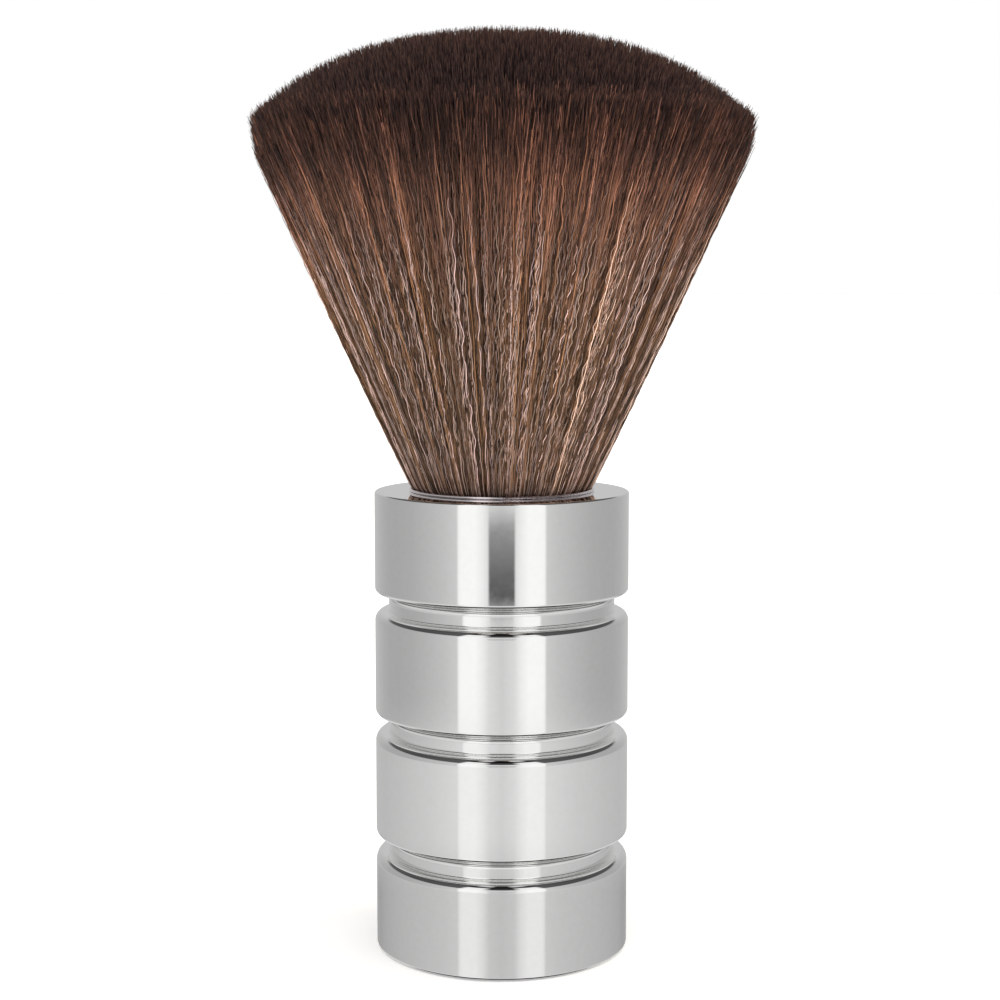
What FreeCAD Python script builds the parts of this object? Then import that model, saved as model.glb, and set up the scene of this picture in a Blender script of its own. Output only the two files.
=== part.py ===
import FreeCAD, Part
import math
import os

import Sketcher

# Neck duster brush, standing on its handle. Millimetres, +Z up.
# The origin is the centre of the foot pad's underside, on the brush's axis of revolution.

DIMENSIONS = {
    # handle
    "handle_radius": 22.0,
    "handle_top": 80.0,
    "foot_gap": 0.3,  # the plated shell stops this far above the counter
    "bore_radius": 17.4,
    "top_wall": 4.0,
    "mouth_radius": 15.5,
    "socket_radius": 19.6,  # counterbore in the shell's foot for the base cap
    "socket_depth": 4.7,
    "rim_fillet": 0.4,
    "mouth_fillet": 0.1,
    # ring grooves in the handle
    "groove_first": 18.36,
    "groove_pitch": 21.25,
    "groove_count": 3,
    "groove_gap": 3.48,
    "groove_floor_radius": 19.6,
    "band_foot_fillet": 0.7,
    "band_top_fillet": 1.5,
    # keys that stop the liner from turning in the shell
    "key_count": 3,
    "key_width": 2.0,
    "key_height": 0.9,
    "key_bottom": 24.0,
    # liner cup that carries the head
    "liner_radius": 17.2,
    "liner_inner_radius": 15.5,
    "liner_floor_top": 52.5,
    "liner_floor": 2.0,
    "liner_bottom": 36.0,
    "boss_radius": 4.5,
    "boss_bottom": 23.5,
    "web_count": 4,
    "web_thickness": 1.6,
    "slot_width": 2.4,
    "slot_depth": 1.0,
    "pilot_clearance": 0.05,
    "pilot_roof": 2.0,  # boss left above the pilot hole
    # ferrule
    "ferrule_radius": 15.4,
    "ferrule_wall": 0.5,
    "ferrule_bottom": 52.7,
    "ferrule_corner": 1.2,
    "flange_radius": 16.0,
    "flange_thickness": 0.55,
    "flange_edge": 0.27,
    "flange_mouth": 0.4,
    # head
    "plug_radius": 14.8,
    "plug_bottom": 53.3,
    "root_bottom": 64.0,
    "root_radius": 13.9,
    "root_relief": 70.5,
    "neck_bottom": 72.5,
    "neck_radius": 14.7,
    "neck_top": 80.2,
    "flare_radius": 15.5,
    "flare_bottom": 80.9,
    "dome_radius": 70.0,
    "shoulder_radius": 44.0,
    "shoulder_fillet": 4.2,
    "tuft_top": 158.0,
    # whipping thread round the root
    "thread_radius": 0.45,
    "thread_valley": 14.55,
    "thread_bed": 0.55,
    "thread_pitch": 0.8,
    "thread_turns": 5,
    "thread_bottom": 65.8,
    # ballast, base cap and foot
    "pad_radius": 19.2,
    "pad_thickness": 1.5,
    "pad_fillet": 0.3,
    "cap_plate": 3.5,
    "cap_spigot": 3.0,
    "cap_clearance": 0.1,
    "cap_lead_in": 0.6,
    "head_recess_radius": 4.2,
    "head_recess_depth": 2.9,
    "ballast_radius": 16.4,
    "ballast_height": 14.0,
    "ballast_chamfer": 0.8,
    "ballast_hole_radius": 2.4,
    "cap_hole_radius": 2.3,
    "damper_radius": 10.0,
    "damper_hole_radius": 2.6,
    # screw and its spring washer
    "screw_radius": 2.0,
    "screw_head_radius": 3.8,
    "screw_head_height": 1.8,
    "screw_head_fillet": 0.9,
    "screw_length": 32.0,
    "screw_point": 1.2,
    "screw_thread_pitch": 1.0,
    "screw_thread_depth": 0.35,
    "screw_thread_turns": 14,
    "screw_thread_runout": 0.6,
    "screw_thread_land": 0.1,  # flat crest either side of a ring
    "screw_thread_margin": 0.2,
    "recess_width": 1.1,
    "recess_span": 4.2,
    "recess_depth": 1.1,
    "washer_radius": 3.7,
    "washer_hole_radius": 2.2,
    "washer_thickness": 0.8,
    "washer_split": 0.6,
    # drawing allowances
    "joint_overlap": 0.5,  # how far a pad runs into the wall it joins
    "cut_margin": 1.0,  # how far a cut's outline passes the surface it opens
}

# Heights that several pieces share, as expressions over the sheet.
SHELL_BOTTOM = "dim.foot_gap"
SOCKET_TOP = "(dim.foot_gap + dim.socket_depth)"
CAP_BOTTOM = "dim.pad_thickness"
CAP_PLATE_TOP = "(dim.pad_thickness + dim.cap_plate)"
CAP_TOP = "(dim.pad_thickness + dim.cap_plate + dim.cap_spigot)"
BALLAST_TOP = "(dim.pad_thickness + dim.cap_plate + dim.cap_spigot + dim.ballast_height)"
HEAD_SEAT = "(dim.pad_thickness + dim.head_recess_depth)"
SCREW_SEAT = "(dim.pad_thickness + dim.head_recess_depth - dim.washer_thickness)"
SHELL_CEILING = "(dim.handle_top - dim.top_wall)"
FLANGE_TOP = "(dim.handle_top + dim.flange_thickness)"

# Numbers by which a sketch knows its own axes and origin, and the points of a curve.
HORIZONTAL_AXIS = -1
VERTICAL_AXIS = -2
ORIGIN = -1
START = 1
END = 2
CENTRE = 3

ON_AXIS = 1e-9
SAME_LENGTH = 1e-4
LEAST_CUT = 1e-3

doc = FreeCAD.newDocument("neck_duster")
sheet = doc.addObject("Spreadsheet::Sheet", "dim")


def fill_sheet():
    """Writes each driving dimension as a named cell."""
    for row, (alias, size) in enumerate(DIMENSIONS.items(), start=1):
        sheet.set("A%d" % row, alias)
        sheet.set("B%d" % row, str(size))
        sheet.setAlias("B%d" % row, alias)
    doc.recompute()


def number(expression):
    """Value of an expression over the sheet."""
    return float(sheet.evalExpression(expression))


def new_body(label):
    body = doc.addObject("PartDesign::Body", label)
    body.Label = label
    return body


def origin_feature(body, role):
    """One of the body's own origin planes or axes."""
    for feature in body.Origin.OriginFeatures:
        if feature.Role == role:
            return feature
    raise ValueError(role)


def new_sketch(body, name, plane, lift=None):
    """Sketch on an origin plane of its body, lifted along the plane's normal by an expression."""
    sketch = body.newObject("Sketcher::SketchObject", name)
    sketch.AttachmentSupport = [(origin_feature(body, plane), "")]
    sketch.MapMode = "FlatFace"
    if lift:
        sketch.setExpression(".AttachmentOffset.Base.z", lift)
    return sketch


def pin_coordinate(sketch, kind, geometry, point, expression):
    """Holds one coordinate of a point at an expression, measured from the sketch's origin."""
    axis = VERTICAL_AXIS if kind == "DistanceX" else HORIZONTAL_AXIS
    size = number(expression)
    if abs(size) < ON_AXIS:
        sketch.addConstraint(Sketcher.Constraint("PointOnObject", geometry, point, axis))
        return
    constraint = Sketcher.Constraint(kind, ORIGIN, START, geometry, point, size)
    index = sketch.addConstraint(constraint)
    sketch.setExpression("Constraints[%d]" % index, expression)


def draw_outline(sketch, points, arcs=None):
    """Closed outline through points given as expressions.

    Sides are straight, except that arcs maps a point's number to the radius and centre of the
    anticlockwise arc that starts there.
    """
    arcs = arcs or {}
    corners = [FreeCAD.Vector(number(x), number(y), 0) for x, y in points]
    count = len(corners)
    for i in range(count):
        here = corners[i]
        there = corners[(i + 1) % count]
        if i not in arcs:
            sketch.addGeometry(Part.LineSegment(here, there), False)
            continue
        radius, centre_x, centre_y = (number(size) for size in arcs[i])
        centre = FreeCAD.Vector(centre_x, centre_y, 0)
        start_angle = math.atan2(here.y - centre_y, here.x - centre_x)
        end_angle = math.atan2(there.y - centre_y, there.x - centre_x)
        circle = Part.Circle(centre, FreeCAD.Vector(0, 0, 1), radius)
        if end_angle < start_angle:
            end_angle += 2 * math.pi
        sketch.addGeometry(Part.ArcOfCircle(circle, start_angle, end_angle), False)
    for i in range(count):
        joint = Sketcher.Constraint("Coincident", i, END, (i + 1) % count, START)
        sketch.addConstraint(joint)
    for i, (x, y) in enumerate(points):
        pin_coordinate(sketch, "DistanceX", i, START, x)
        pin_coordinate(sketch, "DistanceY", i, START, y)
    for i, (radius, _, _) in arcs.items():
        size = sketch.addConstraint(Sketcher.Constraint("Radius", i, number(radius)))
        sketch.setExpression("Constraints[%d]" % size, radius)


def draw_circle(sketch, radius):
    """Circle round the sketch's origin, its radius given as an expression."""
    circle = Part.Circle(FreeCAD.Vector(0, 0, 0), FreeCAD.Vector(0, 0, 1), number(radius))
    index = sketch.addGeometry(circle, False)
    sketch.addConstraint(Sketcher.Constraint("Coincident", index, CENTRE, ORIGIN, START))
    size = sketch.addConstraint(Sketcher.Constraint("Radius", index, number(radius)))
    sketch.setExpression("Constraints[%d]" % size, radius)


def rectangle(left, right, low, high):
    return [(left, low), (right, low), (right, high), (left, high)]


def revolution(body, name, points, arcs=None):
    """Full turn of an outline, drawn as (radius, height), round the brush's axis."""
    sketch = new_sketch(body, name + "_outline", "XZ_Plane")
    draw_outline(sketch, points, arcs)
    turn = body.newObject("PartDesign::Revolution", name)
    turn.Profile = sketch
    turn.ReferenceAxis = (sketch, ["V_Axis"])
    turn.Angle = 360
    body.Tip = turn
    doc.recompute()
    return turn


def ring_cut(body, name, points):
    """Cuts the full turn of an outline out of the body."""
    before = body.Shape.Volume
    sketch = new_sketch(body, name + "_outline", "XZ_Plane")
    draw_outline(sketch, points)
    cut = body.newObject("PartDesign::Groove", name)
    cut.Profile = sketch
    cut.ReferenceAxis = (sketch, ["V_Axis"])
    cut.Angle = 360
    body.Tip = cut
    doc.recompute()
    check_cut(name, before, body)
    return cut


def check_cut(name, before, body):
    if body.Shape.Volume > before - LEAST_CUT:
        raise RuntimeError(name + " removes nothing")


def pad(body, name, sketch, length, upward=True):
    """Pad along the sketch's normal, its length given as an expression."""
    feature = body.newObject("PartDesign::Pad", name)
    feature.Profile = sketch
    feature.setExpression("Length", length)
    feature.Reversed = not upward
    body.Tip = feature
    doc.recompute()
    return feature


def pocket_up(body, name, sketch, length):
    """Pocket that runs up from its sketch, its depth given as an expression."""
    before = body.Shape.Volume
    feature = body.newObject("PartDesign::Pocket", name)
    feature.Profile = sketch
    feature.setExpression("Length", length)
    feature.Reversed = True
    body.Tip = feature
    doc.recompute()
    check_cut(name, before, body)
    return feature


def row_upward(body, name, original, pitch, count):
    """Repeats a feature up the axis."""
    feature = body.newObject("PartDesign::LinearPattern", name)
    feature.Originals = [original]
    feature.Direction = (origin_feature(body, "Z_Axis"), [""])
    feature.setExpression("Length", "%s * (%s - 1)" % (pitch, count))
    feature.setExpression("Occurrences", count)
    body.Tip = feature
    doc.recompute()
    return feature


def around_axis(body, name, original, count):
    """Repeats a feature round the axis."""
    feature = body.newObject("PartDesign::PolarPattern", name)
    feature.Originals = [original]
    feature.Axis = (origin_feature(body, "Z_Axis"), [""])
    feature.Angle = 360
    feature.setExpression("Occurrences", count)
    body.Tip = feature
    doc.recompute()
    return feature


def ring_edges(base, radius, heights):
    """Names of the full circles of one radius at the given heights."""
    wanted_radius = number(radius)
    names = []
    for i, edge in enumerate(base.Shape.Edges, start=1):
        if edge.Degenerated:
            continue
        curve = edge.Curve
        if not isinstance(curve, Part.Circle) or abs(curve.Radius - wanted_radius) > SAME_LENGTH:
            continue
        if any(abs(curve.Center.z - height) < SAME_LENGTH for height in heights):
            names.append("Edge%d" % i)
    if len(names) < len(heights):
        raise RuntimeError("no edge of radius %s" % radius)
    return names


def fillet(body, name, base, edges, radius):
    feature = body.newObject("PartDesign::Fillet", name)
    feature.Base = (base, edges)
    feature.setExpression("Radius", radius)
    body.Tip = feature
    doc.recompute()
    return feature


def chamfer(body, name, base, edges, size):
    feature = body.newObject("PartDesign::Chamfer", name)
    feature.Base = (base, edges)
    feature.setExpression("Size", size)
    body.Tip = feature
    doc.recompute()
    return feature


def groove_wall_heights(side):
    """Height of each groove's lower (-1) or upper (1) wall, lowest first."""
    first = number("dim.groove_first") + side * number("dim.groove_gap") / 2
    pitch = number("dim.groove_pitch")
    return [first + pitch * i for i in range(DIMENSIONS["groove_count"])]


def make_handle_shell():
    """Plated shell: a tube with a mouth in its top wall, soft-lipped grooves and a socket below."""
    body = new_body("handle_shell")
    shell = revolution(body, "shell_turn", [
        ("dim.socket_radius", SHELL_BOTTOM),
        ("dim.handle_radius", SHELL_BOTTOM),
        ("dim.handle_radius", "dim.handle_top"),
        ("dim.mouth_radius", "dim.handle_top"),
        ("dim.mouth_radius", SHELL_CEILING),
        ("dim.bore_radius", SHELL_CEILING),
        ("dim.bore_radius", SOCKET_TOP),
        ("dim.socket_radius", SOCKET_TOP),
    ])
    groove_low = "(dim.groove_first - dim.groove_gap / 2)"
    groove_high = "(dim.groove_first + dim.groove_gap / 2)"
    outside = "(dim.handle_radius + dim.cut_margin)"
    groove = ring_cut(body, "groove", rectangle(
        "dim.groove_floor_radius", outside, groove_low, groove_high))
    grooves = row_upward(body, "groove_row", groove, "dim.groove_pitch", "dim.groove_count")
    band_tops = fillet(body, "band_top_rounding", grooves,
                       ring_edges(grooves, "dim.handle_radius", groove_wall_heights(-1)),
                       "dim.band_top_fillet")
    band_feet = fillet(body, "band_foot_rounding", band_tops,
                       ring_edges(band_tops, "dim.handle_radius", groove_wall_heights(1)),
                       "dim.band_foot_fillet")
    rim_heights = [number(SHELL_BOTTOM), number("dim.handle_top")]
    rims = fillet(body, "rim_rounding", band_feet,
                  ring_edges(band_feet, "dim.handle_radius", rim_heights), "dim.rim_fillet")
    fillet(body, "mouth_rounding", rims,
           ring_edges(rims, "dim.mouth_radius", rim_heights[1:]), "dim.mouth_fillet")
    key_sketch = new_sketch(body, "key_outline", "XY_Plane", "dim.key_bottom")
    draw_outline(key_sketch, rectangle(
        "(dim.bore_radius - dim.key_height)", "(dim.bore_radius + dim.joint_overlap)",
        "(-dim.key_width / 2)", "(dim.key_width / 2)"))
    key = pad(body, "key", key_sketch, "(%s - dim.key_bottom)" % SHELL_CEILING)
    around_axis(body, "key_ring", key, "dim.key_count")
    return body


def make_inner_liner():
    """Plastic cup that holds the ferrule, keyed into the shell, with a webbed screw boss below."""
    body = new_body("inner_liner")
    floor_bottom = "(dim.liner_floor_top - dim.liner_floor)"
    revolution(body, "liner_turn", [
        ("0", floor_bottom),
        ("dim.liner_inner_radius", floor_bottom),
        ("dim.liner_inner_radius", "dim.liner_bottom"),
        ("dim.liner_radius", "dim.liner_bottom"),
        ("dim.liner_radius", SHELL_CEILING),
        ("dim.liner_inner_radius", SHELL_CEILING),
        ("dim.liner_inner_radius", "dim.liner_floor_top"),
        ("0", "dim.liner_floor_top"),
    ])
    boss_sketch = new_sketch(body, "boss_outline", "XY_Plane", "dim.boss_bottom")
    draw_circle(boss_sketch, "dim.boss_radius")
    pad(body, "boss", boss_sketch, "(%s - dim.boss_bottom)" % floor_bottom)
    web_sketch = new_sketch(body, "web_outline", "XY_Plane", "dim.liner_bottom")
    draw_outline(web_sketch, rectangle(
        "(dim.boss_radius - dim.joint_overlap)", "(dim.liner_inner_radius + dim.joint_overlap)",
        "(-dim.web_thickness / 2)", "(dim.web_thickness / 2)"))
    web = pad(body, "web", web_sketch, "(%s - dim.liner_bottom)" % floor_bottom)
    around_axis(body, "web_ring", web, "dim.web_count")
    slot_sketch = new_sketch(body, "slot_outline", "XY_Plane", "dim.liner_bottom")
    draw_outline(slot_sketch, rectangle(
        "(dim.liner_radius - dim.slot_depth)", "(dim.liner_radius + dim.cut_margin)",
        "(-dim.slot_width / 2)", "(dim.slot_width / 2)"))
    slot = pocket_up(body, "slot", slot_sketch, "(%s - dim.liner_bottom)" % SHELL_CEILING)
    around_axis(body, "slot_ring", slot, "dim.key_count")
    hole_sketch = new_sketch(body, "pilot_outline", "XY_Plane", "dim.boss_bottom")
    draw_circle(hole_sketch, "(dim.screw_radius + dim.pilot_clearance)")
    pocket_up(body, "pilot_hole", hole_sketch,
              "(%s - dim.boss_bottom - dim.pilot_roof)" % floor_bottom)
    return body


def make_ferrule():
    """Drawn aluminium cup whose rolled flange rests on the shell's top."""
    body = new_body("ferrule")
    inner = "(dim.ferrule_radius - dim.ferrule_wall)"
    floor_top = "(dim.ferrule_bottom + dim.ferrule_wall)"
    cup = revolution(body, "cup_turn", [
        ("0", "dim.ferrule_bottom"),
        ("dim.ferrule_radius", "dim.ferrule_bottom"),
        ("dim.ferrule_radius", "dim.handle_top"),
        ("dim.flange_radius", "dim.handle_top"),
        ("dim.flange_radius", FLANGE_TOP),
        (inner, FLANGE_TOP),
        (inner, floor_top),
        ("0", floor_top),
    ])
    flange_heights = [number("dim.handle_top"), number(FLANGE_TOP)]
    edge = fillet(body, "flange_edge", cup,
                  ring_edges(cup, "dim.flange_radius", flange_heights), "dim.flange_edge")
    mouth = fillet(body, "flange_mouth", edge,
                   ring_edges(edge, inner, [number(FLANGE_TOP)]), "dim.flange_mouth")
    inside = fillet(body, "inner_draw_radius", mouth,
                    ring_edges(mouth, inner, [number(floor_top)]),
                    "(dim.ferrule_corner - dim.ferrule_wall)")
    fillet(body, "outer_draw_radius", inside,
           ring_edges(inside, "dim.ferrule_radius", [number("dim.ferrule_bottom")]),
           "dim.ferrule_corner")
    return body


def make_epoxy_plug():
    """Resin that fills the bottom of the ferrule and holds the filament roots."""
    body = new_body("epoxy_plug")
    plug = revolution(body, "plug_turn", rectangle(
        "0", "dim.plug_radius", "dim.plug_bottom", "dim.root_bottom"))
    foot = ring_edges(plug, "dim.plug_radius", [number("dim.plug_bottom")])
    fillet(body, "plug_foot_rounding", plug, foot, "dim.ferrule_corner")
    return body


def make_root_binding():
    """Whipping thread: turns side by side on a thin bed of glue."""
    body = new_body("root_binding")
    height = "(dim.thread_bottom + dim.thread_pitch * %g)"
    bed = "(dim.thread_valley - dim.thread_bed)"
    hollow = "(dim.thread_valley - sqrt(dim.thread_radius ^ 2 - (dim.thread_pitch / 2) ^ 2))"
    turns = DIMENSIONS["thread_turns"]
    valleys = [("dim.thread_valley", height % turn) for turn in range(turns + 1)]
    crests = {turn + 1: ("dim.thread_radius", hollow, height % (turn + 0.5))
              for turn in range(turns)}
    outline = [(bed, height % 0)] + valleys + [(bed, height % turns)]
    revolution(body, "thread_turns", outline, crests)
    return body


def make_bristle_tuft():
    """Envelope of the filament head: tied root, flared cone and domed trim."""
    body = new_body("bristle_tuft")
    shoulder_height = ("(dim.tuft_top - dim.dome_radius"
                       " + sqrt(dim.dome_radius ^ 2 - dim.shoulder_radius ^ 2))")
    tuft = revolution(body, "tuft_turn", [
        ("0", "dim.root_bottom"),
        ("dim.root_radius", "dim.root_bottom"),
        ("dim.root_radius", "dim.root_relief"),
        ("dim.neck_radius", "dim.neck_bottom"),
        ("dim.neck_radius", "dim.neck_top"),
        ("dim.flare_radius", "dim.flare_bottom"),
        ("dim.shoulder_radius", shoulder_height),
        ("0", "dim.tuft_top"),
    ], arcs={6: ("dim.dome_radius", "0", "(dim.tuft_top - dim.dome_radius)")})
    shoulder = ring_edges(tuft, "dim.shoulder_radius", [number(shoulder_height)])
    fillet(body, "trimmed_shoulder", tuft, shoulder, "dim.shoulder_fillet")
    return body


def make_ballast_weight():
    """Steel slug that keeps the brush steady on its handle."""
    body = new_body("ballast_weight")
    slug = revolution(body, "slug_turn", rectangle(
        "dim.ballast_hole_radius", "dim.ballast_radius", CAP_TOP, BALLAST_TOP))
    ends = [number(CAP_TOP), number(BALLAST_TOP)]
    chamfer(body, "slug_chamfer", slug, ring_edges(slug, "dim.ballast_radius", ends),
            "dim.ballast_chamfer")
    return body


def make_damper_washer():
    """Foam washer between the slug and the liner's boss, which takes up the slack."""
    body = new_body("damper_washer")
    revolution(body, "damper_turn", rectangle(
        "dim.damper_hole_radius", "dim.damper_radius", BALLAST_TOP, "dim.boss_bottom"))
    return body


def make_base_cap():
    """Plastic closure with a spigot into the bore and a recess for the screw's head."""
    body = new_body("base_cap")
    plate_radius = "(dim.socket_radius - dim.cap_clearance)"
    spigot_radius = "(dim.bore_radius - dim.cap_clearance)"
    cap = revolution(body, "cap_turn", [
        ("dim.head_recess_radius", CAP_BOTTOM),
        (plate_radius, CAP_BOTTOM),
        (plate_radius, CAP_PLATE_TOP),
        (spigot_radius, CAP_PLATE_TOP),
        (spigot_radius, CAP_TOP),
        ("dim.cap_hole_radius", CAP_TOP),
        ("dim.cap_hole_radius", HEAD_SEAT),
        ("dim.head_recess_radius", HEAD_SEAT),
    ])
    lead_in = ring_edges(cap, spigot_radius, [number(CAP_TOP)])
    chamfer(body, "spigot_lead_in", cap, lead_in, "dim.cap_lead_in")
    return body


def make_clamp_screw():
    """Pan-head screw through the cap and the slug into the liner's boss."""
    body = new_body("clamp_screw")
    head_bottom = "(%s - dim.screw_head_height)" % SCREW_SEAT
    point_height = "(%s + dim.screw_length)" % SCREW_SEAT
    blank = revolution(body, "screw_turn", [
        ("0", head_bottom),
        ("dim.screw_head_radius", head_bottom),
        ("dim.screw_head_radius", SCREW_SEAT),
        ("dim.screw_radius", SCREW_SEAT),
        ("dim.screw_radius", "(%s - dim.screw_point)" % point_height),
        ("(dim.screw_radius - dim.screw_point)", point_height),
        ("0", point_height),
    ])
    pan = ring_edges(blank, "dim.screw_head_radius", [number(head_bottom)])
    fillet(body, "pan_rounding", blank, pan, "dim.screw_head_fillet")
    thread_length = "dim.screw_thread_pitch * dim.screw_thread_turns"
    thread_start = ("%s - dim.screw_point - dim.screw_thread_runout - %s"
                    % (point_height, thread_length))
    outside = "(dim.screw_radius + dim.screw_thread_margin)"
    thread = ring_cut(body, "thread_ring", [
        ("(dim.screw_radius - dim.screw_thread_depth)",
         "(%s + dim.screw_thread_pitch / 2)" % thread_start),
        (outside, "(%s + dim.screw_thread_land)" % thread_start),
        (outside, "(%s + dim.screw_thread_pitch - dim.screw_thread_land)" % thread_start),
    ])
    row_upward(body, "thread_rings", thread, "dim.screw_thread_pitch", "dim.screw_thread_turns")
    for turn, (span_x, span_y) in enumerate((("dim.recess_span", "dim.recess_width"),
                                             ("dim.recess_width", "dim.recess_span"))):
        cross = new_sketch(body, "recess_outline_%d" % turn, "XY_Plane", head_bottom)
        draw_outline(cross, rectangle("(-%s / 2)" % span_x, "(%s / 2)" % span_x,
                                      "(-%s / 2)" % span_y, "(%s / 2)" % span_y))
        pocket_up(body, "recess_%d" % turn, cross, "dim.recess_depth")
    return body


def make_spring_washer():
    """Split ring under the screw's head."""
    body = new_body("spring_washer")
    revolution(body, "washer_turn", rectangle(
        "dim.washer_hole_radius", "dim.washer_radius", SCREW_SEAT, HEAD_SEAT))
    split = new_sketch(body, "split_outline", "XY_Plane", SCREW_SEAT)
    draw_outline(split, rectangle(
        "(dim.washer_hole_radius - dim.cut_margin)", "(dim.washer_radius + dim.cut_margin)",
        "(-dim.washer_split / 2)", "(dim.washer_split / 2)"))
    pocket_up(body, "split", split, "dim.washer_thickness")
    return body


def make_base_pad():
    """Foam foot under the cap."""
    body = new_body("base_pad")
    disc = new_sketch(body, "pad_outline", "XY_Plane")
    draw_circle(disc, "dim.pad_radius")
    foot = pad(body, "pad_disc", disc, "dim.pad_thickness")
    fillet(body, "pad_edge_rounding", foot, ring_edges(foot, "dim.pad_radius", [0]),
           "dim.pad_fillet")
    return body


def check_and_export(bodies):
    for item in doc.Objects:
        if "Invalid" in item.State or "Error" in item.State:
            raise RuntimeError("%s failed: %s" % (item.Name, item.State))
    os.makedirs("parts", exist_ok=True)
    for body in bodies:
        shape = body.Shape
        if shape.isNull() or not shape.isValid() or len(shape.Solids) != 1:
            raise RuntimeError(body.Label + " is not one valid solid")
        shape.exportStep("parts/%s.step" % body.Label)
        print("%-16s %9.1f mm3  z %6.2f to %6.2f" % (
            body.Label, shape.Volume, shape.BoundBox.ZMin, shape.BoundBox.ZMax))


def main():
    fill_sheet()
    bodies = [
        make_handle_shell(),
        make_inner_liner(),
        make_ferrule(),
        make_epoxy_plug(),
        make_root_binding(),
        make_bristle_tuft(),
        make_ballast_weight(),
        make_damper_washer(),
        make_base_cap(),
        make_clamp_screw(),
        make_spring_washer(),
        make_base_pad(),
    ]
    doc.recompute()
    check_and_export(bodies)


main()
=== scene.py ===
import math

import bpy
import numpy as np
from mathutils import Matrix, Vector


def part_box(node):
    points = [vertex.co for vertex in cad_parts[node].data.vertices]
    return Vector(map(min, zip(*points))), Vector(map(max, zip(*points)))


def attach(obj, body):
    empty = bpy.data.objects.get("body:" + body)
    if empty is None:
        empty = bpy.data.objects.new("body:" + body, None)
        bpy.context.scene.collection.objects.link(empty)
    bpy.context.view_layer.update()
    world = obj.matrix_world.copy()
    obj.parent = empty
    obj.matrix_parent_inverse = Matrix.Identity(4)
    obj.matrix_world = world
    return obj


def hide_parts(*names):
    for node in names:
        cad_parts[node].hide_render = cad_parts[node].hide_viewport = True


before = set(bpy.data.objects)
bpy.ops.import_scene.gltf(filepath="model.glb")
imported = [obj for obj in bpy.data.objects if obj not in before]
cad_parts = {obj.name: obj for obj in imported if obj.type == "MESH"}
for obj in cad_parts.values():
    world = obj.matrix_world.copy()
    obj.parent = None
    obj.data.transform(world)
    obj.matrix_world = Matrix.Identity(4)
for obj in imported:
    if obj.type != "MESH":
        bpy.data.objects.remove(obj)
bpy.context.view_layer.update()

# Neck duster brush: plated handle with ring grooves, rolled ferrule and a flared filament head.
# Lengths are in metres, in the frame's own axes, with the brush standing on z = 0.

MM = 0.001
BAKE_MAP = "OFBake"  # name of the texture coordinates on pieces that bring their own
random = np.random.default_rng(20)

# ---------------------------------------------------------------- sizes read from the frame

handle_low, handle_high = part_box("handle_shell")
plug_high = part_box("epoxy_plug")[1]
tuft_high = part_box("bristle_tuft")[1]

SHELL_BOTTOM = handle_low[2]
HANDLE_TOP = handle_high[2]
HANDLE_RADIUS = handle_high[0]
MOUTH_RADIUS = plug_high[0] - 0.1 * MM  # of the filament bundle where it leaves the ferrule
TUFT_TOP = tuft_high[2]
TUFT_RADIUS = tuft_high[0]
HEAD_HEIGHT = TUFT_TOP - HANDLE_TOP

# ---------------------------------------------------------------- shape of the head

DOME_TOP = TUFT_TOP - 0.6 * MM
DOME_EDGE = 40 * MM  # radius at which the trimmed dome has dropped by DOME_DROP
DOME_DROP = 12.55 * MM
DOME_ROUND_SHARE = 0.58  # the rest of the drop is steeper towards the edge
ROOT_HEIGHT = HANDLE_TOP - 0.8 * MM
CONE_START_RADIUS = 15.3 * MM  # where the straight side would meet the handle's top
CONE_SLOPE = 0.458
CONE_BULGE = 0.15 * MM
BULGE_SHARE = 0.78  # of the head's height
LEAN_START = HANDLE_TOP + 0.1 * MM
LEAN_LENGTH = 0.4 * MM  # how fast the filaments lean out over the flange
SHOULDER_START = 0.92  # of the head's radius
SHOULDER_DROP = 3.4 * MM
SHOULDER_LIMIT = 1.2
TRIM_STEPS = 5


def side_radius(z):
    """Radius of the head's side at height z."""
    up = np.clip((z - HANDLE_TOP) / (BULGE_SHARE * HEAD_HEIGHT), 0, 1)
    cone = CONE_START_RADIUS + CONE_SLOPE * (z - HANDLE_TOP) + CONE_BULGE * np.sin(np.pi * up)
    lean = np.exp(-np.maximum(z - LEAN_START, 0) / LEAN_LENGTH)
    return np.where(z > LEAN_START, cone - (CONE_START_RADIUS - MOUTH_RADIUS) * lean, MOUTH_RADIUS)


def trim_height(share):
    """Height at which filaments are trimmed, by their share of the way out to the head's side."""
    radius = share * TUFT_RADIUS
    for _ in range(TRIM_STEPS):
        out = radius / DOME_EDGE
        dome = DOME_TOP - DOME_DROP * (DOME_ROUND_SHARE * out ** 2 + (1 - DOME_ROUND_SHARE) * out ** 4)
        over = np.clip((radius / TUFT_RADIUS - SHOULDER_START) / (1 - SHOULDER_START), 0, SHOULDER_LIMIT)
        height = dome - SHOULDER_DROP * over ** 2
        radius = share * side_radius(height)
    return height


# ---------------------------------------------------------------- strands as meshes

SIDES = 3
TONES = 128  # strands share this many tone columns in their own map
TONE_MARGIN = 0.22  # of a column, left empty at each of its sides
MAX_TRIANGLES = 190000  # for one piece


def tube_vertices(paths, radii, turns):
    """Rings of SIDES points round each path point. paths is (strand, point, xyz)."""
    along = np.gradient(paths, axis=1)
    along /= np.linalg.norm(along, axis=2, keepdims=True)
    outward = paths * (1, 1, 0) + (1e-5, 0, 0)
    across = np.cross(along, outward)
    across /= np.linalg.norm(across, axis=2, keepdims=True)
    away = np.cross(across, along)
    rings = []
    for side in range(SIDES):
        angle = turns[:, None, None] + 2 * math.pi * side / SIDES
        rings.append(paths + radii[:, :, None] * (np.cos(angle) * across + np.sin(angle) * away))
    return np.stack(rings, axis=2)


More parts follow.
